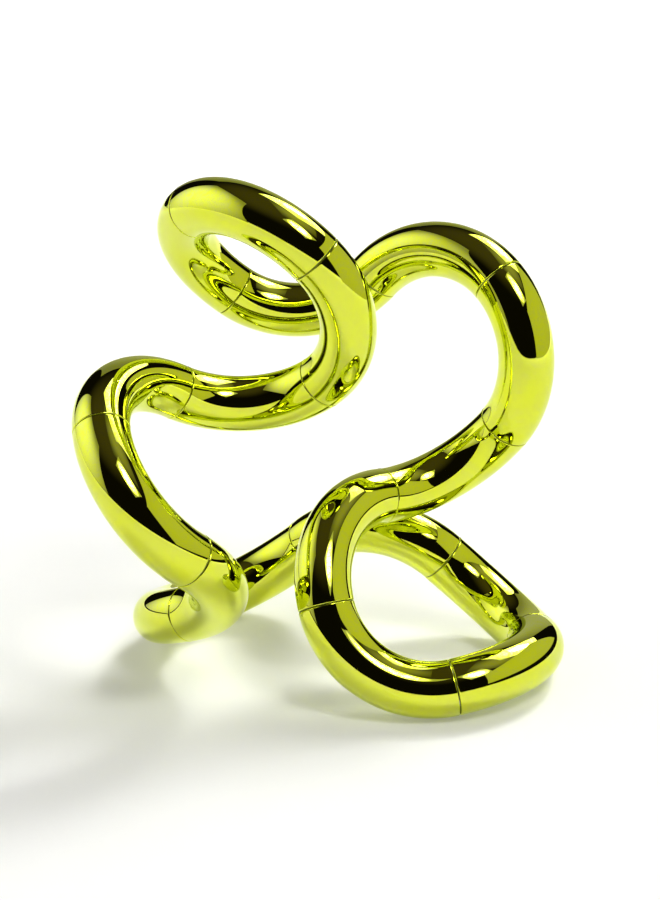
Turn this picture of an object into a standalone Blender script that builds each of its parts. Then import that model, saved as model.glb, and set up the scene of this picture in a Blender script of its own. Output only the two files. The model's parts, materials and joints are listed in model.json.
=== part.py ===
"""Twist-and-fold loop puzzle: eighteen plated quarter-bend links, snapped end to end on swivel plugs.

Every link is a hollow tube bent through a right angle. Its far end carries a slotted plug whose
bead snaps behind the lip of the next link's mouth, so the two links turn on each other about the
tube's own centre line there. The eighteen links close into one loop, which stands on a table on
three of its bends. It runs in Blender 4.5, in metres, with +Z up.
"""

import math

import bmesh
import bpy
import numpy as np
from mathutils import Euler, Matrix, Vector

MM = 0.001
MERGE_DISTANCE = 0.001 * MM
SHARP_ANGLE_DEG = 40

# Driving dimensions.
LINK_COUNT = 18
BEND_RADIUS = 17.5 * MM  # to the tube's centre line
TUBE_DIAMETER = 9.5 * MM
SHELL_WALL = 1.2 * MM
SEAM_GAP = 0.3 * MM  # between two neighbouring shells
OPEN_SEAM_GAP = 0.9 * MM  # at the one pivot that is left unsnapped
SEAM_EDGE = 0.25 * MM  # bevel on a shell's outer edge
LIP_HEIGHT = 1.05 * MM  # how far the lip stands in from the bore at a link's mouth
LIP_DEPTH = 1.4 * MM
STEM_LENGTH = 3.0 * MM  # pressed into the link that carries the plug
BEAD_LENGTH = 1.8 * MM
BEAD_HOLD = 0.35 * MM  # how far the bead reaches out behind the lip
SLOT_WIDTH = 0.8 * MM  # two crossed slots leave the plug four fingers
FIT_GAP = 0.3 * MM  # clearance between a plug and the shells around it

# Fineness of the meshes.
TUBE_SIDES = 16
BEND_STEPS = 7
BORE_STEPS = 4
PLUG_SIDES = 12

# The pose, in whole degrees: the twist at the mouth of each link. At 0 a link carries on round its
# neighbour's circle, and at 180 the two make an S. close_loop() shares out the last fraction of a
# degree that brings the two ends together.
TWISTS_DEG = (-21, 122, -127, 53, -71, 36, -114, -81, 12, 138, -40, -11, -23, -27, -79, -9, -64, 147)
LAY_DEG = (138, 6, 49)  # how the first link lies, before the loop is stood on its feet
FEET = (1, 3, 5)  # the links that touch the table
ROOT_LINK = 10
CLOSING_STEPS = 8  # Newton steps, each with slopes taken over NUDGE_DEG
NUDGE_DEG = 0.01
STANDING_STEPS = 8
FOOT_SAMPLES = 61  # points along a link's centre line, where its lowest one is looked for

PLATED_LIME = ("plated_lime", (0.62, 0.72, 0.06), 1.0, 0.08)
ACETAL_WHITE = ("acetal_white", (0.86, 0.86, 0.82), 0.0, 0.35)


# ------------------------------------------------------------------ the loop


def link_frames(twists_deg):
    """Frames at each link's mouth and one past the last link.

    X runs along the tube, and Y points to the centre of the link's bend.
    """
    bend = Matrix.Translation((BEND_RADIUS, BEND_RADIUS, 0)) @ Matrix.Rotation(math.pi / 2, 4, "Z")
    frames = [Matrix.Identity(4)]
    for twist in (*twists_deg[1:], twists_deg[0]):
        turn = Matrix.Rotation(math.radians(twist), 4, "X")
        frames.append(frames[-1] @ bend @ turn)
    return frames


def loop_error(twists_deg):
    """How far the end of the last link lies from the first mouth: three shifts and three turns."""
    end = link_frames(twists_deg)[-1]
    axis, angle = end.to_quaternion().to_axis_angle()
    if angle > math.pi:
        angle -= 2 * math.pi
    return np.array((*(end.translation / BEND_RADIUS), *(axis * angle)))


def close_loop(twists_deg):
    """The twists with the smallest changes that close the loop, by Newton's method."""
    twists = np.array(twists_deg, float)
    for _ in range(CLOSING_STEPS):
        error = loop_error(tuple(twists))
        slopes = np.empty((len(error), len(twists)))
        for index in range(len(twists)):
            nudged = twists.copy()
            nudged[index] += NUDGE_DEG
            slopes[:, index] = (loop_error(tuple(nudged)) - error) / NUDGE_DEG
        twists -= np.linalg.lstsq(slopes, error, rcond=1e-6)[0]
    return tuple(twists)


def centre_line(frame):
    """Points along one link's centre line."""
    angles = np.linspace(0, math.pi / 2, FOOT_SAMPLES)
    return [frame @ (BEND_RADIUS * Vector((math.sin(a), 1 - math.cos(a), 0))) for a in angles]


def stand_on_feet(frames):
    """Turns the loop until its three feet are level, then sets it down centred over the origin."""
    for _ in range(STANDING_STEPS):
        lowest = [min(centre_line(frames[foot - 1]), key=lambda point: point.z) for foot in FEET]
        up = (lowest[1] - lowest[0]).cross(lowest[2] - lowest[0]).normalized()
        if up.z < 0:
            up.negate()
        level = up.rotation_difference(Vector((0, 0, 1))).to_matrix().to_4x4()
        frames = [level @ frame for frame in frames]
    points = np.array([point for frame in frames[:LINK_COUNT] for point in centre_line(frame)])
    low, high = points.min(axis=0), points.max(axis=0)
    middle = (low + high) / 2
    shift = Vector((-middle[0], -middle[1], TUBE_DIAMETER / 2 - low[2]))
    return [Matrix.Translation(shift) @ frame for frame in frames]


def posed_frames():
    """World frames at the eighteen mouths, for the loop at rest on the table."""
    lay = Euler([math.radians(angle) for angle in LAY_DEG]).to_matrix().to_4x4()
    frames = link_frames(close_loop(TWISTS_DEG))[:LINK_COUNT]
    return stand_on_feet([lay @ frame for frame in frames])


# ------------------------------------------------------------------ shapes


def bore_radius():
    """The radius inside a link's shell."""
    return TUBE_DIAMETER / 2 - SHELL_WALL


def lip_radius():
    """The radius inside the lip, which a plug's neck turns in."""
    return bore_radius() - LIP_HEIGHT


def ring_on_bend(bm, angle, radius):
    """A circle of vertices round the tube, at an angle along the bend."""
    place = (
        Matrix.Translation((0, BEND_RADIUS, 0))
        @ Matrix.Rotation(angle, 4, "Z")
        @ Matrix.Translation((0, -BEND_RADIUS, 0))
        @ Matrix.Rotation(math.pi / 2, 4, "Y")
    )
    made = bmesh.ops.create_circle(bm, segments=TUBE_SIDES, radius=radius, matrix=place)
    return made["verts"]


def join_rings(bm, rings):
    """Quads between each ring and the next, and from the last ring back to the first."""
    for ring, following in zip(rings, rings[1:] + rings[:1]):
        for index, vertex in enumerate(ring):
            beside = (index + 1) % len(ring)
            bm.faces.new((vertex, ring[beside], following[beside], following[index]))


def shell_mesh(name, mouth_gap, tail_gap):
    """One link's shell: a bent tube whose mouth has an inward lip and whose tail is open.

    The wall's section is followed once round: out along the outer skin, and back along the bore,
    which has a ring where the stem in it ends. Each gap is half of the seam there, and is measured
    along the centre line.
    """
    outer, bore, lip = TUBE_DIAMETER / 2, bore_radius(), lip_radius()
    mouth = mouth_gap / BEND_RADIUS
    tail = math.pi / 2 - tail_gap / BEND_RADIUS
    edge = SEAM_EDGE / BEND_RADIUS
    stem_end = tail - STEM_LENGTH / BEND_RADIUS
    lip_end = mouth + LIP_DEPTH / BEND_RADIUS
    section = [(mouth, outer - SEAM_EDGE)]
    section += [(angle, outer) for angle in np.linspace(mouth + edge, tail - edge, BEND_STEPS + 1)]
    section += [(tail, outer - SEAM_EDGE)]
    section += [(tail, bore)]
    section += [(angle, bore) for angle in np.linspace(stem_end, lip_end, BORE_STEPS + 1)]
    section += [(lip_end, lip), (mouth, lip)]
    bm = bmesh.new()
    join_rings(bm, [ring_on_bend(bm, angle, radius) for angle, radius in section])
    bmesh.ops.recalc_face_normals(bm, faces=bm.faces)
    return finished_mesh(bm, name)


def stem_radius(depth):
    """The stem tapers inwards, because the bent bore around it moves off its axis."""
    return bore_radius() - FIT_GAP - depth**2 / (2 * BEND_RADIUS)


def stem_profile(half_gap):
    """Half section of the stem, as (along the pivot's axis, radius). The seam's middle is at 0."""
    back = -half_gap - STEM_LENGTH
    return [(back, 0), (back, stem_radius(-back)), (-half_gap, stem_radius(half_gap))]


def bead_radius():
    """The radius of a plug's bead, which reaches out behind the lip."""
    return lip_radius() + BEAD_HOLD


def snap_reach():
    """Where the bead's back and its nose lie beyond the seam.

    The lip's back face leans with the bend, so the bead clears the side of it that reaches furthest.
    """
    lip_end = SEAM_GAP / 2 + LIP_DEPTH
    lean = lip_end / BEND_RADIUS
    back = lip_end + bead_radius() * math.sin(lean) + FIT_GAP
    return back, back + BEAD_LENGTH


def snap_profile():
    """Half section of the neck, which turns in the next link's lip, and of the bead behind it."""
    neck = lip_radius() - FIT_GAP
    back, nose = snap_reach()
    return [(-SEAM_GAP / 2, neck), (back, neck), (back, bead_radius()), (nose, neck), (nose, 0)]


def turned_mesh(name, profile):
    """A half section spun about X."""
    bm = bmesh.new()
    points = [bm.verts.new((along, radius, 0)) for along, radius in profile]
    edges = [bm.edges.new(pair) for pair in zip(points, points[1:])]
    bmesh.ops.spin(
        bm, geom=points + edges, axis=(1, 0, 0), angle=2 * math.pi, steps=PLUG_SIDES, use_merge=True
    )
    bmesh.ops.remove_doubles(bm, verts=bm.verts, dist=MERGE_DISTANCE)
    bmesh.ops.recalc_face_normals(bm, faces=bm.faces)
    return finished_mesh(bm, name)


def finished_mesh(bm, name):
    """The mesh of a bmesh, shaded smooth except at its sharp edges."""
    mesh = bpy.data.meshes.new(name)
    bm.to_mesh(mesh)
    bm.free()
    mesh.shade_smooth()
    mesh.set_sharp_from_angle(angle=math.radians(SHARP_ANGLE_DEG))
    return mesh


def slot_blade(turn):
    """A cutter for one slot: a blade that lies through the neck and the bead, turned about X."""
    front = FIT_GAP - SEAM_GAP / 2
    reach = snap_reach()[1] + FIT_GAP
    bm = bmesh.new()
    bmesh.ops.create_cube(bm, size=1)
    bmesh.ops.scale(bm, verts=bm.verts, vec=(reach - front, TUBE_DIAMETER, SLOT_WIDTH))
    bmesh.ops.translate(bm, verts=bm.verts, vec=((front + reach) / 2, 0, 0))
    bmesh.ops.rotate(bm, verts=bm.verts, matrix=Matrix.Rotation(turn, 3, "X"))
    blade = bpy.data.objects.new("slot_blade", finished_mesh(bm, "slot_blade"))
    blade.hide_render = True
    blade.display_type = "WIRE"
    bpy.context.scene.collection.objects.link(blade)
    return blade


def snap_plug_mesh():
    """The snapping plug, with its two slots cut."""
    profile = stem_profile(SEAM_GAP / 2) + snap_profile()
    blank = bpy.data.objects.new("plug_blank", turned_mesh("plug_blank", profile))
    bpy.context.scene.collection.objects.link(blank)
    for turn in (0, math.pi / 2):
        slot = blank.modifiers.new("slot", "BOOLEAN")
        slot.operation = "DIFFERENCE"
        slot.object = slot_blade(turn)
    bpy.context.view_layer.update()
    solid = blank.evaluated_get(bpy.context.evaluated_depsgraph_get())
    mesh = bpy.data.meshes.new_from_object(solid)
    mesh.name = "snap_plug"
    bpy.data.objects.remove(blank)
    return mesh


# ------------------------------------------------------------------ the assembly


def material(name, colour, metallic, roughness):
    """A plain Principled material."""
    made = bpy.data.materials.new(name)
    made.use_nodes = True
    surface = made.node_tree.nodes["Principled BSDF"]
    surface.inputs["Base Color"].default_value = (*colour, 1)
    surface.inputs["Metallic"].default_value = metallic
    surface.inputs["Roughness"].default_value = roughness
    return made


def add(name, data, parent, world):
    """A new object at a world matrix, under its parent."""
    obj = bpy.data.objects.new(name, data)
    bpy.context.scene.collection.objects.link(obj)
    obj.parent = parent
    base = parent.matrix_world if parent else Matrix.Identity(4)
    obj.matrix_local = base.inverted() @ world
    bpy.context.view_layer.update()
    return obj


def add_pivots(frames):
    """The empty that carries each link, on the axis it turns on.

    The tree grows both ways along the loop from the root link.
    """
    carriers = {ROOT_LINK: add("root", None, None, frames[ROOT_LINK - 1])}
    for link in range(ROOT_LINK + 1, LINK_COUNT + 1):
        name = f"pivot_{link - 1:02d}_{link:02d}"
        carriers[link] = add(name, None, carriers[link - 1], frames[link - 1])
    for link in range(ROOT_LINK - 1, 0, -1):
        name = f"pivot_{link:02d}_{link + 1:02d}"
        carriers[link] = add(name, None, carriers[link + 1], frames[link])
    return carriers


def build():
    """Clears the scene, then adds each link's shell and plug under the empty it turns with."""
    for obj in list(bpy.data.objects):
        bpy.data.objects.remove(obj)
    frames = posed_frames()
    carriers = add_pivots(frames)

    # Links share their meshes. Only the two beside the open seam have ends of their own.
    half, half_open = SEAM_GAP / 2, OPEN_SEAM_GAP / 2
    shells = dict.fromkeys(range(1, LINK_COUNT + 1), shell_mesh("shell", half, half))
    shells[1] = shell_mesh("first_shell", half_open, half)
    shells[LINK_COUNT] = shell_mesh("last_shell", half, half_open)
    plugs = dict.fromkeys(range(1, LINK_COUNT), snap_plug_mesh())
    plugs[LINK_COUNT] = turned_mesh("end_plug", stem_profile(half_open) + [(-half_open, 0)])
    lime, white = material(*PLATED_LIME), material(*ACETAL_WHITE)
    for mesh in {*shells.values()}:
        mesh.materials.append(lime)
    for mesh in {*plugs.values()}:
        mesh.materials.clear()
        mesh.materials.append(white)

    for link in range(1, LINK_COUNT + 1):
        add(f"link_{link:02d}_shell", shells[link], carriers[link], frames[link - 1])
        tail = frames[link % LINK_COUNT]
        add(f"link_{link:02d}_plug", plugs[link], carriers[link], tail)


build()
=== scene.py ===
"""Looks of the twist-and-fold loop puzzle: mirror-plated links, their plugs, and the studio.

Every link is a hollow quarter bend. Its outer skin is plated in a lime-tinted mirror under a clear
lacquer, its bore is plain moulded plastic, and a white plug snaps its tail into the next mouth.
Lengths are in metres unless a name says otherwise. Places and sizes come from the loaded frame.
"""

from __future__ import annotations

import json
import logging
import math
from dataclasses import dataclass, field
from enum import Enum

import bpy
import numpy as np
from mathutils import Matrix, Vector

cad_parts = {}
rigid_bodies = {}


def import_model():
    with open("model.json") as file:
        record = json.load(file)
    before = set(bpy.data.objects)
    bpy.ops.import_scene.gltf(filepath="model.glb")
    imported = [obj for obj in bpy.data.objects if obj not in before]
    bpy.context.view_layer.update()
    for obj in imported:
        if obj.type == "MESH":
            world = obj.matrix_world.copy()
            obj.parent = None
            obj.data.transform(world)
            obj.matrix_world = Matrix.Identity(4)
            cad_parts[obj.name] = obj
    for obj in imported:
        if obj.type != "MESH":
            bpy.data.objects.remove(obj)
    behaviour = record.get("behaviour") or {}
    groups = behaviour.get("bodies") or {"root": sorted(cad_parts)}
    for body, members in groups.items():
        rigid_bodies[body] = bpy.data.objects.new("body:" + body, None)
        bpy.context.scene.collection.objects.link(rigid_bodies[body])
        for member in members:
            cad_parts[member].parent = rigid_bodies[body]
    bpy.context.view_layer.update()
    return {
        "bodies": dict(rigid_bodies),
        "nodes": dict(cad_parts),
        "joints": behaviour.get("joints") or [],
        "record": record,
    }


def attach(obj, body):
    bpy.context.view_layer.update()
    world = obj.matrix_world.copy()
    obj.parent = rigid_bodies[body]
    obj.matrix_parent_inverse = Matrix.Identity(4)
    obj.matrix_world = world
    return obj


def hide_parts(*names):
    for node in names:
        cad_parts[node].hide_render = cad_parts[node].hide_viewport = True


LOG = logging.getLogger("loop_puzzle")
MM = 0.001
QUARTER = math.pi / 2
MIX_COLOURS = (6, 7)  # the Mix node's two colour inputs, which share their names with its others
MIXED_COLOUR = 2  # and its colour output

Array = np.ndarray
Rgb = tuple[float, float, float]


# ---------------------------------------------------------------------- shader maths


@dataclass(frozen=True)
class Value:
    """A number that varies over a surface, as a shader socket with arithmetic."""

    shader: "Shader"
    socket: bpy.types.NodeSocket

    def _maths(self, operation: str, *values: "Value | float") -> "Value":
        """The result of one Math node."""
        made = self.shader.node("ShaderNodeMath", {"operation": operation}, dict(enumerate(values)))
        return Value(self.shader, made.outputs[0])

    def __add__(self, other: "Value | float") -> "Value":
        """self + other."""
        return self._maths("ADD", self, other)

    __radd__ = __add__

    def __mul__(self, other: "Value | float") -> "Value":
        """self * other."""
        return self._maths("MULTIPLY", self, other)

    __rmul__ = __mul__

    def __sub__(self, other: "Value | float") -> "Value":
        """self - other."""
        return self._maths("SUBTRACT", self, other)

    def __rsub__(self, other: float) -> "Value":
        """other - self."""
        return self._maths("SUBTRACT", other, self)

    def ramp(self, low: float, high: float) -> "Value":
        """0 below low and 1 above high, with a smooth step between. Low may be above high.

        Args:
            low: the value at which the result is 0.
            high: the value at which the result is 1.

        Returns:
            The stepped value.
        """
        settings = {"interpolation_type": "SMOOTHSTEP"}
        inputs = {"Value": self, "From Min": low, "From Max": high}
        made = self.shader.node("ShaderNodeMapRange", settings, inputs)
        return Value(self.shader, made.outputs["Result"])


class Shader:
    """A material's node tree, with one method that adds any node."""

    def __init__(self, name: str) -> None:
        """Starts an empty material.

        Args:
            name: the material's name.
        """
        self.material = bpy.data.materials.new(name)
        self.material.use_nodes = True
        self.tree = self.material.node_tree
        self.tree.nodes.clear()
        self.output = self.tree.nodes.new("ShaderNodeOutputMaterial")

    def node(self, kind: str, settings: dict | None = None, inputs: dict | None = None) -> bpy.types.Node:
        """Adds one node.

        Args:
            kind: the node's type.
            settings: its own properties, set first.
            inputs: by socket name or number, a number, a tuple, a Value or another socket.

        Returns:
            The node.
        """
        made = self.tree.nodes.new(kind)
        for name, value in (settings or {}).items():
            setattr(made, name, value)
        for name, value in (inputs or {}).items():
            source = value.socket if isinstance(value, Value) else value
            if isinstance(source, bpy.types.NodeSocket):
                self.tree.links.new(source, made.inputs[name])
            else:
                made.inputs[name].default_value = source
        return made

    def place(self) -> bpy.types.NodeSocket:
        """The piece's own coordinates, in metres."""
        return self.node("ShaderNodeTexCoord").outputs["Object"]

    def attribute(self, name: str) -> Value:
        """A number held by the mesh at each of its points."""
        return Value(self, self.node("ShaderNodeAttribute", {"attribute_name": name}).outputs["Fac"])

    def noise(self, size: float, detail: float = 2.0, roughness: float = 0.5, lift: float = 0.0) -> Value:
        """Cloudy noise from 0 to 1.

        Args:
            size: the width of its largest blobs.
            detail: how many finer layers it has.
            roughness: how strong the finer layers are.
            lift: moves the pattern, so that two noises of a size differ.

        Returns:
            The noise.
        """
        shift = {0: self.place(), 1: (lift, lift, lift)}
        moved = self.node("ShaderNodeVectorMath", {"operation": "ADD"}, shift)
        inputs = {"Vector": moved.outputs[0], "Scale": 1 / size, "Detail": detail, "Roughness": roughness}
        return Value(self, self.node("ShaderNodeTexNoise", {}, inputs).outputs["Fac"])

    def specks(self, spacing: float, radius: float) -> Value:
        """Small round dots, 1 at their middle and 0 outside them.

        Args:
            spacing: the mean distance between dots.
            radius: a dot's radius.

        Returns:
            The dots.
        """
        inputs = {"Vector": self.place(), "Scale": 1 / spacing, "Randomness": 1.0}
        made = self.node("ShaderNodeTexVoronoi", {"feature": "F1"}, inputs)
        return Value(self, made.outputs["Distance"]).ramp(radius / spacing, 0.0)

    def blend(self, share: Value, first: Rgb | bpy.types.NodeSocket, second: Rgb) -> bpy.types.NodeSocket:
        """A colour between two, by a share from 0 to 1.

        Args:
            share: 0 gives the first colour, and 1 the second.
            first: a colour, or the socket of one.
            second: another colour.

        Returns:
            The mixed colour's socket.
        """
        start = first if isinstance(first, bpy.types.NodeSocket) else (*first, 1)
        inputs = {"Factor": share, MIX_COLOURS[0]: start, MIX_COLOURS[1]: (*second, 1)}
        made = self.node("ShaderNodeMix", {"data_type": "RGBA"}, inputs)
        return made.outputs[MIXED_COLOUR]

    def bump(self, height: Value) -> bpy.types.NodeSocket:
        """A normal tilted by the slope of a height in metres."""
        inputs = {"Height": height, "Strength": 1.0, "Distance": 1.0}
        return self.node("ShaderNodeBump", {}, inputs).outputs["Normal"]

    def surface(self, inputs: dict) -> bpy.types.Material:
        """Finishes the material with a Principled surface.

        Args:
            inputs: the surface's sockets and their values.

        Returns:
            The material.
        """
        made = self.node("ShaderNodeBsdfPrincipled", {}, inputs)
        self.tree.links.new(made.outputs[0], self.output.inputs["Surface"])
        return self.material


# ---------------------------------------------------------------------- finishes


@dataclass(frozen=True)
class PlatedLime:
    """Mirror plating tinted lime, under a clear hard lacquer, with a little handling wear."""

    tint: Rgb = (0.72, 0.785, 0.006)
    deep_tint: Rgb = (0.665, 0.735, 0.004)
    worn_tint: Rgb = (0.62, 0.66, 0.10)
    rim_tint: Rgb = (0.86, 0.92, 0.05)  # what the plating keeps of its glancing sheen
    roughness: float = 0.018
    smudge_haze: float = 0.022  # roughness that a fingermark adds
    ridge_haze: float = 0.03  # roughness that its fine ridges add
    rub_haze: float = 0.18  # roughness of a fully rubbed rim
    rub_share: float = 0.6  # how far a rubbed rim turns to the worn tint
    lacquer_weight: float = 0.75
    lacquer_roughness: float = 0.012
    lacquer_ior: float = 1.5
    pool_size: float = 11 * MM  # width of the patches where the tint lies thicker
    smudge_size: float = 7 * MM
    ridge_size: float = 0.35 * MM
    rub_size: float = 0.8 * MM
    swell_size: float = 7.5 * MM
    swell: float = 0.009 * MM  # height of the slow waves that moulding leaves
    peel_size: float = 0.9 * MM
    peel: float = 0.0011 * MM  # height of the lacquer's fine orange peel
    nib_spacing: float = 2.6 * MM
    nib_radius: float = 0.07 * MM
    nib_patch: float = 5 * MM  # width of the patches that hold dust nibs
    nib: float = 0.006 * MM  # height of a dust nib caught in the lacquer
    worn_edge: float = 0.35 * MM  # width of the rubbed rim beside a seam

    def height(self, shader: Shader) -> Value:
        """The plating's relief: slow waves, orange peel, and dust nibs in patches."""
        patch = shader.noise(self.nib_patch, 1.0, lift=4.3).ramp(0.5, 0.62)
        nibs = shader.specks(self.nib_spacing, self.nib_radius) * patch
        swell = shader.noise(self.swell_size, 1.0, 0.4, lift=2.3) * self.swell
        peel = shader.noise(self.peel_size, 1.0, 0.4, lift=5.9) * self.peel
        return swell + peel + nibs * self.nib

    def material(self) -> bpy.types.Material:
        """The finish as a material."""
        shader = Shader("plated_lime")
        rim = shader.attribute("seam_distance").ramp(self.worn_edge, 0.0)
        rub = rim * shader.noise(self.rub_size, 3.0, 0.6).ramp(0.45, 0.72)
        pooled = shader.noise(self.pool_size, 2.0, lift=0.7)
        lacquer = shader.blend(pooled, self.tint, self.deep_tint)
        smudge = shader.noise(self.smudge_size, 4.0, 0.55, lift=1.9).ramp(0.52, 0.78)
        ridge = shader.noise(self.ridge_size, 2.0, 0.7, lift=3.1).ramp(0.66, 0.74)
        haze = smudge * self.smudge_haze + smudge * ridge * self.ridge_haze + rub * self.rub_haze
        return shader.surface(
            {
                "Base Color": shader.blend(rub * self.rub_share, lacquer, self.worn_tint),
                "Metallic": 1.0,
                "Roughness": haze + self.roughness,
                "Coat Weight": self.lacquer_weight,
                "Coat Roughness": self.lacquer_roughness,
                "Coat IOR": self.lacquer_ior,
                "Specular Tint": (*self.rim_tint, 1),
                "Normal": shader.bump(self.height(shader)),
            }
        )


@dataclass(frozen=True)
class MouldedBore:
    """The unplated inside of a link: dull lime moulded plastic."""

    colour: Rgb = (0.36, 0.42, 0.05)
    dark: Rgb = (0.22, 0.26, 0.03)
    cloud_size: float = 2.5 * MM
    grain_size: float = 0.22 * MM
    grain_height: float = 0.006 * MM

    def material(self) -> bpy.types.Material:
        """The finish as a material."""
        shader = Shader("moulded_bore")
        cloud = shader.noise(self.cloud_size, 3.0)
        grain = shader.noise(self.grain_size, 2.0, 0.6, lift=1.3)
        return shader.surface(
            {
                "Base Color": shader.blend(cloud, self.colour, self.dark),
                "Roughness": 0.42 + grain * 0.16,
                "Normal": shader.bump(grain * self.grain_height),
            }
        )


@dataclass(frozen=True)
class MouldedAcetal:
    """Slippery natural-white moulded plastic, as the snap plugs are made of."""

    colour: Rgb = (0.84, 0.84, 0.79)
    warm: Rgb = (0.76, 0.75, 0.68)
    cloud_size: float = 1.8 * MM
    flow_size: float = 0.3 * MM
    flow_height: float = 0.003 * MM
    glow_depth: float = 0.6 * MM  # how far light soaks in

    def material(self) -> bpy.types.Material:
        """The finish as a material."""
        shader = Shader("acetal")
        cloud = shader.noise(self.cloud_size, 2.0, lift=0.4)
        flow = shader.noise(self.flow_size, 3.0, 0.6, lift=2.2)
        return shader.surface(
            {
                "Base Color": shader.blend(cloud.ramp(0.35, 0.75), self.colour, self.warm),
                "Roughness": 0.28 + flow * 0.18,
                "Subsurface Weight": 0.15,
                "Subsurface Scale": self.glow_depth,
                "Normal": shader.bump(flow * self.flow_height),
            }
        )


@dataclass(frozen=True)
class PaleSweep:
    """A matt white paper sweep that glows a little, so that it stays white to its far edge. The glow is
    painted light, which also lightens the shadows cast on the sweep near the object.
    """

    albedo: Rgb = (0.86, 0.86, 0.85)
    # painted light: the glow near the object, which lightens the shadows that fall on the sweep
    glow: float = 0.20
    far_glow: float = 0.58
    near: float = 0.25  # how far from the object the glow starts to grow
    far: float = 1.0
    fibre_size: float = 0.5 * MM
    fibre_height: float = 0.01 * MM

    def material(self) -> bpy.types.Material:
        """The finish as a material."""
        shader = Shader("pale_sweep")
        reach = shader.node("ShaderNodeVectorMath", {"operation": "LENGTH"}, {0: shader.place()})
        away = Value(shader, reach.outputs["Value"]).ramp(self.near, self.far)
        fibre = shader.noise(self.fibre_size, 3.0, 0.6)
        return shader.surface(
            {
                "Base Color": (*self.albedo, 1),
                "Roughness": 0.9,
                "Specular IOR Level": 0.1,
                "Emission Color": (1, 1, 0.99, 1),
                # painted light: the sweep's glow, weaker near the object and stronger far from it
                "Emission Strength": away * (self.far_glow - self.glow) + self.glow,
                "Normal": shader.bump(fibre * self.fibre_height),
            }
        )


@dataclass(frozen=True)
class Glow:
    """The lit face of a studio panel, brightest round a hot spot and weaker towards its edges."""

    radiance: float
    colour: Rgb = (1.0, 1.0, 1.0)
    edge_share: float = 1.0  # brightness at the far edge, as a share of the middle's
    hot_spot: tuple[float, float] = (0.5, 0.5)  # the middle, across and up the panel
    reach: float = 0.7  # where the brightness has fallen to the edge's share
    lamp: float = 0.0  # extra radiance of a lamp that shows through, at the hot spot
    lamp_radius: float = 0.2  # as a share of the panel
    lamp_softness: float = 0.3  # half the width of the lamp's edge, as a share of its radius
    core: float = 0.1  # where the brightness starts to fall

    def material(self, name: str) -> bpy.types.Material:
        """The glow as a material.

        Args:
            name: the material's name.

        Returns:
            The material.
        """
        shader = Shader(name)
        own_map = shader.node("ShaderNodeUVMap", {"uv_map": "panel"}).outputs["UV"]
        ends = {0: own_map, 1: (*self.hot_spot, 0)}
        offset = shader.node("ShaderNodeVectorMath", {"operation": "DISTANCE"}, ends)
        away = Value(shader, offset.outputs["Value"])
        fall = away.ramp(self.core, self.reach)
        soft = self.lamp_radius * self.lamp_softness
        lamp = away.ramp(self.lamp_radius + soft, self.lamp_radius - soft) * self.lamp
        strength = (1 - fall * (1 - self.edge_share)) * self.radiance + lamp
        made = shader.node("ShaderNodeEmission", {}, {"Color": (*self.colour, 1), "Strength": strength})
        shader.tree.links.new(made.outputs[0], shader.output.inputs["Surface"])
        return shader.material


# ---------------------------------------------------------------------- mesh work


@dataclass(frozen=True)
class Faces:
    """Faces with the same number of corners each, and the material slot that they use."""

    corners: Array  # one row of vertex numbers for each face
    slot: Array | int = 0


def grid_faces(rows: int, columns: int, close_rows: bool, close_columns: bool) -> Array:
    """Quads over a grid of points, wrapping round in either direction.

    The quad at (row, column) joins it to the next row and the next column, counted modulo the
    grid's size where the grid closes on itself.

    Args:
        rows: points in the first direction.
        columns: points in the second direction.
        close_rows: whether the last row joins the first.
        close_columns: whether the last column joins the first.

    Returns:
        An array of vertex numbers, four to a face.
    """
    row, column = np.meshgrid(
        np.arange(rows if close_rows else rows - 1),
        np.arange(columns if close_columns else columns - 1),
        indexing="ij",
    )
    next_row, next_column = (row + 1) % rows, (column + 1) % columns
    corners = (row * columns + column, next_row * columns + column)
    corners += (next_row * columns + next_column, row * columns + next_column)
    return np.stack(corners, axis=-1).reshape(-1, 4)


def enclosed_volume(points: Array, groups: list[Faces]) -> float:
    """Signed volume: a sixth of the sum of a . (b x c) over fans of triangles."""
    total = 0.0
    for group in groups:
        first = points[group.corners[:, 0]]
        for corner in range(1, group.corners.shape[1] - 1):
            second, third = points[group.corners[:, corner]], points[group.corners[:, corner + 1]]
            total += float(np.einsum("ij,ij->", first, np.cross(second, third)))
    return total / 6


def make_piece(
    name: str,
    points: Array,
    groups: list[Faces],
    finishes: list[bpy.types.Material],
    sharp_deg: float = 40.0,
) -> bpy.types.Object:
    """Puts arrays of points and faces into a smooth-shaded object whose faces point outwards.

    Args:
        name: the object's name.
        points: the vertices, one to a row.
        groups: the faces.
        finishes: the materials, in the order that the faces' slots count them.
        sharp_deg: edges that turn more than this stay crisp.

    Returns:
        The object, at the origin.
    """
    step = -1 if enclosed_volume(points, groups) < 0 else 1
    sheets = [group.corners[:, ::step] for group in groups]
    loops = np.concatenate([sheet.ravel() for sheet in sheets])
    counts = np.concatenate([np.full(len(sheet), sheet.shape[1]) for sheet in sheets])
    starts = np.concatenate(([0], np.cumsum(counts)[:-1]))
    slots = np.concatenate([np.broadcast_to(group.slot, len(group.corners)) for group in groups])

    mesh = bpy.data.meshes.new(name)
    mesh.vertices.add(len(points))
    mesh.vertices.foreach_set("co", points.astype(np.float32).ravel())
    mesh.loops.add(len(loops))
    mesh.loops.foreach_set("vertex_index", loops.astype(np.int32))
    mesh.polygons.add(len(counts))
    mesh.polygons.foreach_set("loop_start", starts.astype(np.int32))
    mesh.polygons.foreach_set("material_index", slots.astype(np.int32))
    for finish in finishes:
        mesh.materials.append(finish)
    mesh.update(calc_edges=True)
    mesh.validate()
    mesh.shade_smooth()
    mesh.set_sharp_from_angle(angle=math.radians(sharp_deg))
    made = bpy.data.objects.new(name, mesh)
    bpy.context.scene.collection.objects.link(made)
    return made


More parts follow.
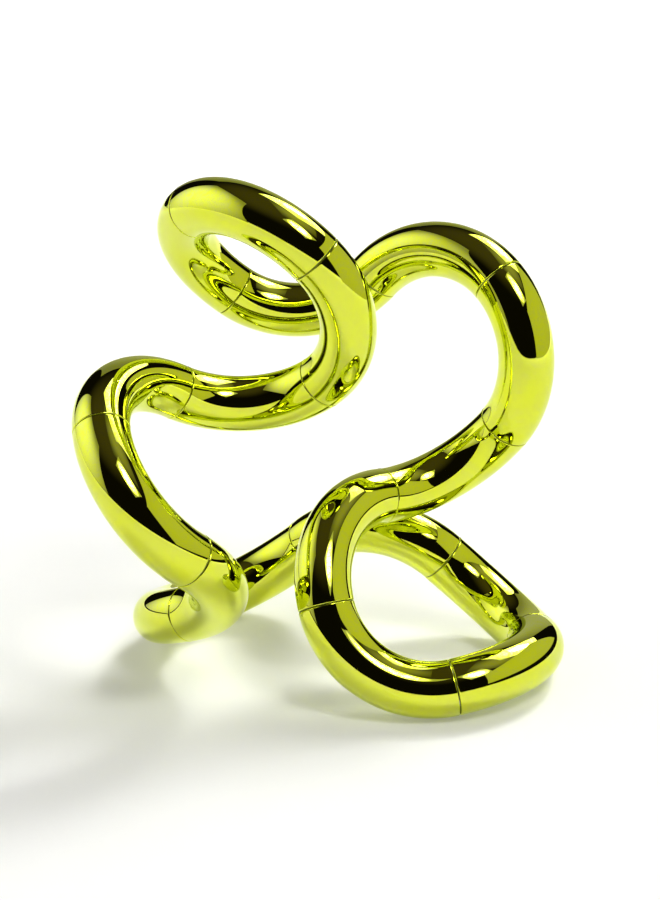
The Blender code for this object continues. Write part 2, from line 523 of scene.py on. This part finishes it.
def set_attribute(piece: bpy.types.Object, name: str, values: Array) -> None:
    """Gives each point of a piece's mesh a number that its material can read."""
    made = piece.data.attributes.new(name, "FLOAT", "POINT")
    made.data.foreach_set("value", values.astype(np.float32))


def arc(centre: tuple[float, float], radius: float, start_deg: float, end_deg: float, steps: int) -> Array:
    """Points round an arc: the centre plus the radius times (cos, sin) of evenly spaced angles."""
    angles = np.radians(np.linspace(start_deg, end_deg, steps))
    return np.stack([centre[0] + radius * np.cos(angles), centre[1] + radius * np.sin(angles)], axis=-1)


# ---------------------------------------------------------------------- the loop


@dataclass(frozen=True)
class Bend:
    """Where one link's quarter bend lies: from its mouth, ahead and round towards its bend's centre."""

    mouth: Array
    ahead: Array
    inward: Array
    radius: float

    @property
    def side(self) -> Array:
        """The direction square to the plane of the bend."""
        return np.cross(self.ahead, self.inward)

    @property
    def tail(self) -> Array:
        """The middle of the link's far end: one radius ahead and one inward."""
        return self.mouth + self.radius * (self.ahead + self.inward)

    def sweep(self, along: Array, out: Array, around: Array) -> Array:
        """Points round the bend's centre line.

        With a the angle along / radius, the centre line is mouth + radius (sin a ahead + (1 - cos a)
        inward). A point adds out (cos t (sin a ahead - cos a inward) + sin t side), where t is the
        angle around the tube from the bend's outer side.

        Args:
            along: lengths along the centre line.
            out: distances from it, one to each length.
            around: angles round the tube.

        Returns:
            An array of the lengths by the angles by three.
        """
        turn = (along / self.radius)[:, None, None]
        spin = around[None, :, None]
        line = self.mouth + self.radius * (np.sin(turn) * self.ahead + (1 - np.cos(turn)) * self.inward)
        outward = np.sin(turn) * self.ahead - np.cos(turn) * self.inward
        return line + out[:, None, None] * (np.cos(spin) * outward + np.sin(spin) * self.side)


@dataclass
class Loop:
    """The closed loop of bends, worked out from the pivots between the links."""

    frame: dict
    bends: dict[int, Bend] = field(default_factory=dict)

    def trace(self) -> None:
        """Finds every link's bend.

        A pivot gives a point on the centre line and the tangent there. A quarter bend's chord is
        radius (tangent in + tangent out), which gives the radius, the sense of each tangent, and
        the one seam that has no pivot: its tangent is what is left of the closed chain of chords.
        """
        joints = sorted(self.frame["joints"], key=lambda joint: joint["name"])
        spots = np.array([joint["pos_m"] for joint in joints])
        tangents = np.array([joint["axis"] for joint in joints])
        tangents /= np.linalg.norm(tangents, axis=1, keepdims=True)
        chords = np.diff(spots, axis=0)
        radius = float(np.linalg.norm(chords, axis=1).mean() / math.sqrt(2))
        senses = np.sign(np.einsum("ij,ij->i", tangents, np.vstack([chords, chords[-1:]])))
        last = chords[-1] - radius * tangents[-2] * senses[-2]
        senses[-1] = np.sign(last @ tangents[-1])
        tangents *= senses[:, None]
        closing = spots[0] - spots[-1] - radius * (tangents[0] + tangents[-1])
        open_tangent = closing / np.linalg.norm(closing)
        open_spot = spots[-1] + radius * (tangents[-1] + open_tangent)
        mouths = np.vstack([open_spot, spots])
        tangents = np.vstack([open_tangent, tangents])
        for index, mouth in enumerate(mouths):
            following = (index + 1) % len(mouths)
            self.bends[index + 1] = Bend(mouth, tangents[index], tangents[following], radius)

    def tube_radius(self) -> float:
        """The outer radius of the tube, measured on the first link's shell.

        In the bend's plane a point lies |hypot(x, y) - radius| from the centre line, where x and y
        are its places along the two axes from the bend's centre, and it also lies z to the side.
        """
        bend = self.bends[1]
        mesh = self.frame["nodes"]["link_01_shell"].data
        points = np.empty(len(mesh.vertices) * 3, np.float32)
        mesh.vertices.foreach_get("co", points)
        offset = points.reshape(-1, 3) - (bend.mouth + bend.radius * bend.inward)
        flat = np.hypot(offset @ bend.ahead, offset @ bend.inward) - bend.radius
        return float(np.hypot(flat, offset @ bend.side).max())


class LinkEnd(Enum):
    """How a link's end is joined: snapped to its neighbour, or at the seam that has no pivot."""

    SNAPPED = 0.07 * MM
    OPEN = 0.16 * MM

    @property
    def half_gap(self) -> float:
        """Half of the gap between the two shells at such an end."""
        return self.value


@dataclass
class LinkShell:
    """One link's hollow shell: plated outside, with a lipped mouth and an open tail."""

    bend: Bend
    tube_radius: float
    mouth_end: LinkEnd = LinkEnd.SNAPPED
    tail_end: LinkEnd = LinkEnd.SNAPPED
    wall: float = 1.2 * MM
    lip_radius: float = 2.5 * MM
    lip_depth: float = 1.4 * MM
    edge_round: float = 0.17 * MM
    inner_round: float = 0.12 * MM
    edge_steps: int = 7
    inner_steps: int = 4
    skin_steps: int = 64
    bore_steps: int = 16
    sides: int = 96

    def skin(self) -> Array:
        """The outer half of the section: (length along, distance out), with both rims rounded."""
        start = self.mouth_end.half_gap
        end = self.bend.radius * QUARTER - self.tail_end.half_gap
        edge, out = self.edge_round, self.tube_radius
        support = edge * 0.6  # a ring close to each rim keeps the skin's shading true
        middle = np.linspace(start + edge + support, end - edge - support, self.skin_steps)
        run = np.stack([middle, np.full(self.skin_steps, out)], axis=-1)
        first = arc((start + edge, out - edge), edge, 180, 90, self.edge_steps)
        last = arc((end - edge, out - edge), edge, 90, 0, self.edge_steps)
        return np.vstack([first, run, last])

    def bore(self) -> Array:
        """The inner half of the section: back from the tail, then round the lip to the mouth."""
        start = self.mouth_end.half_gap
        end = self.bend.radius * QUARTER - self.tail_end.half_gap
        inner, lip, soft = self.tube_radius - self.wall, self.lip_radius, self.inner_round
        lip_back = start + self.lip_depth
        run = np.linspace(end - 2 * soft, lip_back + 2 * soft, self.bore_steps)
        return np.vstack(
            [
                arc((end - soft, inner + soft), soft, 0, -90, self.inner_steps),
                np.stack([run, np.full(self.bore_steps, inner)], axis=-1),
                [(lip_back, inner)],
                arc((lip_back - soft, lip + soft), soft, 0, -90, self.inner_steps),
                arc((start + soft, lip + soft), soft, 270, 180, self.inner_steps),
            ]
        )

    def build(self, name: str, plating: bpy.types.Material, moulding: bpy.types.Material) -> bpy.types.Object:
        """Carries the section round the tube.

        Args:
            name: the piece's name.
            plating: the finish of the outer skin and both rims.
            moulding: the finish of the bore and the lip.

        Returns:
            The shell.
        """
        skin, bore = self.skin(), self.bore()
        section = np.vstack([skin, bore])
        around = np.linspace(0, 2 * math.pi, self.sides, endpoint=False)
        points = self.bend.sweep(section[:, 0], section[:, 1], around).reshape(-1, 3)
        corners = grid_faces(len(section), self.sides, close_rows=True, close_columns=True)
        inside = np.repeat(np.arange(len(section)) >= len(skin), self.sides)
        piece = make_piece(name, points, [Faces(corners, inside.astype(int))], [plating, moulding])
        length = self.bend.radius * QUARTER
        to_seam = np.minimum(section[:, 0], length - section[:, 0])
        set_attribute(piece, "seam_distance", np.repeat(to_seam, self.sides))
        return piece


@dataclass
class SnapPlug:
    """The plug in a link's tail: a tapered stem, and four sprung fingers that end in a bead."""

    bend: Bend
    tube_radius: float
    snapped: bool = True
    wall: float = 1.2 * MM
    half_gap: float = 0.15 * MM
    open_half_gap: float = 0.45 * MM
    clearance: float = 0.3 * MM
    stem_length: float = 3.0 * MM
    neck_radius: float = 2.2 * MM
    bead_radius: float = 2.85 * MM
    bead_back: float = 2.1 * MM
    bead_length: float = 1.8 * MM
    slot_width: float = 0.8 * MM
    finger_root: float = 0.06 * MM  # where the fingers start, inside the end of the neck's root
    crown_length: float = 0.9 * MM  # from the nose back to where the bead is still nearly full
    crown_drop: float = 0.22 * MM
    tip_length: float = 0.3 * MM
    tip_rise: float = 0.1 * MM  # how far the tip's back edge stands over the neck
    soft: float = 0.14 * MM
    soft_steps: int = 5
    stem_steps: int = 8
    neck_steps: int = 6
    sides: int = 48
    finger_sides: int = 9

    def place(self, points: Array) -> Array:
        """Points from the pivot's own axes into the frame. The first axis runs into the next link."""
        across = self.bend.ahead
        return (
            self.bend.tail
            + points[:, :1] * self.bend.inward
            + points[:, 1:2] * across
            + points[:, 2:] * np.cross(self.bend.inward, across)
        )

    def stem_radius(self, depth: float | Array) -> float | Array:
        """The stem narrows with the square of its depth, as the bent bore moves off its axis."""
        return self.tube_radius - self.wall - self.clearance - depth**2 / (2 * self.bend.radius)

    def stem_section(self) -> Array:
        """Half section of the stem and the neck's root, as (along, radius), from pole to pole."""
        back, soft = -self.half_gap - self.stem_length, self.soft
        tail_radius = self.stem_radius(-back)
        front = -self.half_gap if self.snapped else -self.open_half_gap
        rim = self.stem_radius(-front)
        depths = np.linspace(-back - 2 * soft, -front + 2 * soft, self.stem_steps)
        tapered = np.stack([-depths, self.stem_radius(depths)], axis=-1)
        parts = [
            arc((back + soft, tail_radius - soft), soft, 180, 90, self.soft_steps),
            tapered,
            arc((front - soft, rim - soft), soft, 90, 0, self.soft_steps),
        ]
        if self.snapped:
            root = self.half_gap
            parts += [
                [(front, self.neck_radius + soft)],
                [(front + soft, self.neck_radius), (root, self.neck_radius)],
            ]
        return np.vstack(parts)

    def turned(self, section: Array) -> tuple[Array, list[Faces]]:
        """A section spun about the pivot's axis, with a flat cap at each end.

        A point at (x, r) goes to (x, r cos t, r sin t) for evenly spaced angles t.

        Args:
            section: the half section, which doesn't touch the axis.

        Returns:
            The points and the faces.
        """
        turn = np.linspace(0, 2 * math.pi, self.sides, endpoint=False)
        along, out = section[:, :1], section[:, 1:]
        rings = np.stack(
            [along + 0 * turn, out * np.cos(turn), out * np.sin(turn)],
            axis=-1,
        ).reshape(-1, 3)
        walls = grid_faces(len(section), self.sides, close_rows=False, close_columns=True)
        first = np.arange(self.sides)[None, :]
        last = first[:, ::-1] + (len(section) - 1) * self.sides
        return rings, [Faces(walls), Faces(first), Faces(last)]

    def finger_section(self) -> Array:
        """Stations along one finger, as (along, radius): neck, bead with soft edges, nose."""
        nose = self.bead_back + self.bead_length
        neck, bead, soft = self.neck_radius, self.bead_radius, self.soft
        run = np.linspace(self.half_gap, self.bead_back - soft, self.neck_steps)
        return np.vstack(
            [
                [(self.finger_root, neck)],
                np.stack([run, np.full(self.neck_steps, neck)], axis=-1),
                [(self.bead_back, neck + soft)],
                arc((self.bead_back + soft, bead - soft), soft, 180, 60, self.soft_steps),
                [(nose - self.crown_length, bead - self.crown_drop)],
                [(nose - self.tip_length, neck + self.tip_rise), (nose, neck - self.tip_length)],
            ]
        )

    def finger(self, quarter: int) -> tuple[Array, list[Faces]]:
        """One finger: a quarter disc less half a slot on each side, lofted along the stations.

        Its outline starts at the corner where the slots cross. It then follows one slot's wall, an
        arc of the station's radius r from asin(h / r) to acos(h / r), with h half a slot's width,
        and comes back along the other slot's wall.

        Args:
            quarter: which of the four fingers, counted round the axis.

        Returns:
            The points and the faces.
        """
        stations = self.finger_section()
        half = self.slot_width / 2
        radius = stations[:, 1]
        low, high = np.arcsin(half / radius), np.arccos(half / radius)
        share = np.linspace(0, 1, self.finger_sides)[None, :]
        sweep = low[:, None] + (high - low)[:, None] * share
        across = np.concatenate([np.full((len(radius), 1), half), radius[:, None] * np.cos(sweep)], axis=1)
        up = np.concatenate([np.full((len(radius), 1), half), radius[:, None] * np.sin(sweep)], axis=1)
        turn = QUARTER * quarter
        outline = np.stack(
            [
                stations[:, :1] + 0 * across,
                across * math.cos(turn) - up * math.sin(turn),
                across * math.sin(turn) + up * math.cos(turn),
            ],
            axis=-1,
        )
        count = outline.shape[1]
        walls = grid_faces(len(stations), count, close_rows=False, close_columns=True)
        first = np.arange(count)[None, :]
        last = first[:, ::-1] + (len(stations) - 1) * count
        return outline.reshape(-1, 3), [Faces(walls), Faces(first), Faces(last)]

    def build(self, name: str, moulding: bpy.types.Material) -> bpy.types.Object:
        """Makes the plug.

        Args:
            name: the piece's name.
            moulding: its finish.

        Returns:
            The plug.
        """
        solids = [self.turned(self.stem_section())]
        if self.snapped:
            solids += [self.finger(quarter) for quarter in range(4)]
        points, groups = [], []
        for solid_points, solid_groups in solids:
            base = sum(len(block) for block in points)
            placed = self.place(solid_points)
            step = -1 if enclosed_volume(placed, solid_groups) < 0 else 1
            points.append(placed)
            groups += [Faces(group.corners[:, ::step] + base) for group in solid_groups]
        return make_piece(name, np.vstack(points), groups, [moulding])


@dataclass
class LinkAssembly:
    """All eighteen links, each with its shell and its plug riding on its own body."""

    loop: Loop

    def build(self) -> None:
        """Builds every link with its finishes, and hides the plain solids that it stands for."""
        plating = PlatedLime().material()
        bore = MouldedBore().material()
        acetal = MouldedAcetal().material()
        tube_radius = self.loop.tube_radius()
        last = len(self.loop.bends)
        for link, bend in self.loop.bends.items():
            mouth_end = LinkEnd.OPEN if link == 1 else LinkEnd.SNAPPED
            tail_end = LinkEnd.OPEN if link == last else LinkEnd.SNAPPED
            body = f"link_{link:02d}"
            tube = LinkShell(bend, tube_radius, mouth_end, tail_end)
            shell = tube.build(f"{body}_plated_shell", plating, bore)
            plug = SnapPlug(bend, tube_radius, snapped=link != last).build(f"{body}_snap_plug", acetal)
            for piece, node, slot in ((shell, "shell", "plated_lime"), (plug, "plug", "acetal")):
                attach(piece, body)
                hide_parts(f"{body}_{node}")
                LOG.info("%s: %d faces on %s", piece.name, len(piece.data.polygons), body)


# ---------------------------------------------------------------------- the studio


class Sees(Enum):
    """Which rays a studio panel meets: all that aren't the camera's, or only mirror reflections."""

    ALL_LIGHT = "all light"
    REFLECTIONS = "reflections"


@dataclass(frozen=True)
class Panel:
    """A flat lit panel that faces the object."""

    name: str
    centre: tuple[float, float, float]
    width: float
    height: float
    glow: Glow
    sees: Sees = Sees.ALL_LIGHT
    aim: tuple[float, float, float] | None = None  # what it faces, or None for level
    roll_deg: float = 0.0
    steps: int = 9

    def build(self) -> bpy.types.Object:
        """Makes the panel: a small grid over its width and height, turned to face its aim."""
        centre = Vector(self.centre)
        target = Vector(self.aim) if self.aim else Vector((0, 0, centre.z))
        if self.aim is None and abs(centre.x) > abs(centre.y):
            target.y = centre.y
        elif self.aim is None:
            target.x = centre.x
        turn = (centre - target).to_track_quat("Z", "Y").to_matrix().to_4x4()
        roll = Matrix.Rotation(math.radians(self.roll_deg), 4, "Z")
        place = np.array(Matrix.Translation(centre) @ turn @ roll)
        shares = np.linspace(0, 1, self.steps)
        up, across = np.meshgrid(shares, shares, indexing="ij")
        level, one = np.zeros_like(up), np.ones_like(up)
        flat = np.stack([(across - 0.5) * self.width, (up - 0.5) * self.height, level, one], axis=-1)
        points = (flat.reshape(-1, 4) @ place.T)[:, :3]
        corners = grid_faces(self.steps, self.steps, close_rows=False, close_columns=False)
        panel = make_piece(self.name, points, [Faces(corners)], [self.glow.material(self.name)])
        sheet = np.stack([across, up], axis=-1).reshape(-1, 2)
        loops = np.empty(len(panel.data.loops), np.int32)
        panel.data.loops.foreach_get("vertex_index", loops)
        own_map = panel.data.uv_layers.new(name="panel")
        own_map.data.foreach_set("uv", sheet[loops].astype(np.float32).ravel())
        panel.visible_camera = False
        panel.visible_shadow = False
        panel.visible_diffuse = self.sees is Sees.ALL_LIGHT
        return panel


@dataclass
class Studio:
    """A white sweep in a dark room, with softboxes, reflector cards and a camera."""

    sweep_reach: float = 1.5
    sweep_drop: float = 0.02 * MM  # keeps the sweep just clear of the links that stand on it
    sweep_steps: int = 41
    room_radius: float = 4.0
    room_bands: int = 41
    room_sides: int = 64
    room_colour: Rgb = (1.0, 0.80, 0.55)
    room_glow: float = 0.004
    overhead_glow: float = 0.055
    overhead_from: float = 0.6  # height at which the ceiling's glow starts, in radii
    lens: float = 99.6
    sensor: float = 36.0
    camera_distance: float = 0.4195
    camera_aim: tuple[float, float, float] = (0.00113, 0.0, 0.03950)
    azimuth_deg: float = 0.30
    elevation_deg: float = 17.47
    roll_deg: float = -0.90

    def panels(self) -> list[Panel]:
        """The lit panels, from the key light round to the bounce off the ceiling."""
        middle = (0.0, 0.0, 0.043)
        return [
            Panel(
                "key_softbox", (0.770, 0.790, 1.335), 1.04, 1.06,
                Glow(6.4, (1.0, 1.0, 0.98), 0.18, (0.59, 0.43), 0.74, 29.0, 0.18), aim=middle,
            ),
            Panel(
                "fill_softbox", (0.556, -0.738, 1.225), 0.60, 0.68,
                Glow(18.0, (1.0, 1.0, 0.97), 0.03, (0.5, 0.5), 0.52), aim=middle, roll_deg=12,
            ),
            Panel(
                "left_softbox", (-0.60, 0.13, 0.555), 1.10, 1.05,
                Glow(1.36, (1.0, 1.0, 1.0), 0.22, (0.44, 0.35), 0.72),
            ),
            Panel(
                "right_card", (0.22, -0.013, 0.150), 0.455, 0.215,
                Glow(0.64, (1.0, 1.0, 0.40), 0.92), Sees.REFLECTIONS,
            ),
            Panel(
                "back_card", (0.06, 1.0, 0.43), 0.74, 0.86,
                Glow(0.45, (1.0, 0.98, 0.70), 0.55, (0.38, 0.15), 0.8), Sees.REFLECTIONS,
            ),
            Panel(
                "ceiling_bounce", (0.80, 0.05, 1.70), 1.30, 1.10,
                Glow(0.34, (1.0, 0.95, 0.75), 0.25, (0.5, 0.5), 0.7), Sees.REFLECTIONS, aim=middle,
            ),
        ]

    def room(self) -> bpy.types.Object:
        """A dark dome, unseen by the camera: black at the level of the table, brown overhead.

        It is a sphere of latitudes by longitudes: (cos l cos t, cos l sin t, sin l) times the radius.
        """
        nearly = 0.9999  # the bands stop just short of the poles, where their points would meet
        latitude = np.linspace(-QUARTER, QUARTER, self.room_bands) * nearly
        longitude = np.linspace(0, 2 * math.pi, self.room_sides, endpoint=False)
        height, turn = np.meshgrid(latitude, longitude, indexing="ij")
        level = np.cos(height)
        ball = np.stack([level * np.cos(turn), level * np.sin(turn), np.sin(height)], axis=-1)
        corners = grid_faces(self.room_bands, self.room_sides, close_rows=False, close_columns=True)
        points = ball.reshape(-1, 3) * self.room_radius
        shader = Shader("dark_room")
        split = shader.node("ShaderNodeSeparateXYZ", {}, {0: shader.place()})
        lift = Value(shader, split.outputs["Z"]).ramp(self.overhead_from * self.room_radius, self.room_radius)
        strength = lift * self.overhead_glow + self.room_glow
        inputs = {"Color": (*self.room_colour, 1), "Strength": strength}
        made = shader.node("ShaderNodeEmission", {}, inputs)
        shader.tree.links.new(made.outputs[0], shader.output.inputs["Surface"])
        dome = make_piece("dark_room", points, [Faces(corners)], [shader.material])
        dome.visible_camera = False
        dome.visible_shadow = False
        return dome

    def floor(self) -> bpy.types.Object:
        """The sweep: an even grid, flat at the height that the loop stands on."""
        line = np.linspace(-self.sweep_reach, self.sweep_reach, self.sweep_steps)
        row, column = np.meshgrid(line, line, indexing="ij")
        level = np.full_like(row, -self.sweep_drop)
        points = np.stack([column, row, level], axis=-1).reshape(-1, 3)
        corners = grid_faces(self.sweep_steps, self.sweep_steps, close_rows=False, close_columns=False)
        sweep = make_piece("paper_sweep", points, [Faces(corners)], [PaleSweep().material()])
        return sweep

    def backdrop(self) -> None:
        """A white world, which only the camera meets, because the room hides it from all else."""
        world = bpy.data.worlds.new("white_backdrop")
        world.use_nodes = True
        background = world.node_tree.nodes["Background"]
        background.inputs["Color"].default_value = (1, 1, 1, 1)
        background.inputs["Strength"].default_value = 1.0
        bpy.context.scene.world = world

    def camera(self) -> None:
        """A long lens from a little above the table, level but for a slight roll."""
        azimuth, elevation = math.radians(self.azimuth_deg), math.radians(self.elevation_deg)
        back = Vector(
            (
                -math.sin(azimuth) * math.cos(elevation),
                -math.cos(azimuth) * math.cos(elevation),
                math.sin(elevation),
            )
        )
        data = bpy.data.cameras.new("camera")
        data.sensor_fit = "VERTICAL"
        data.sensor_height = self.sensor
        data.sensor_width = self.sensor
        data.lens = self.lens
        data.clip_start, data.clip_end = 0.01, 20.0
        camera = bpy.data.objects.new("camera", data)
        turn = back.to_track_quat("Z", "Y").to_matrix().to_4x4()
        roll = Matrix.Rotation(math.radians(self.roll_deg), 4, "Z")
        spot = Vector(self.camera_aim) + back * self.camera_distance
        camera.matrix_world = Matrix.Translation(spot) @ turn @ roll
        bpy.context.scene.collection.objects.link(camera)
        bpy.context.scene.camera = camera

    def build(self) -> None:
        """Sets up the whole studio, with plain colour output."""
        self.camera()
        self.floor()
        self.room()
        self.backdrop()
        for panel in self.panels():
            panel.build()
            LOG.info("%s is up", panel.name)
        bpy.context.scene.view_settings.view_transform = "Standard"


def main() -> None:
    """Loads the frame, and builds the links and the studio."""
    logging.basicConfig(level=logging.INFO, format="%(name)s: %(message)s")
    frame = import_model()
    Studio().build()
    loop = Loop(frame)
    loop.trace()
    LinkAssembly(loop).build()
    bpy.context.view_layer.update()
    LOG.info("tube radius %.2f mm, bend radius %.2f mm", loop.tube_radius() / MM, loop.bends[1].radius / MM)


if __name__ == "__main__":
    main()
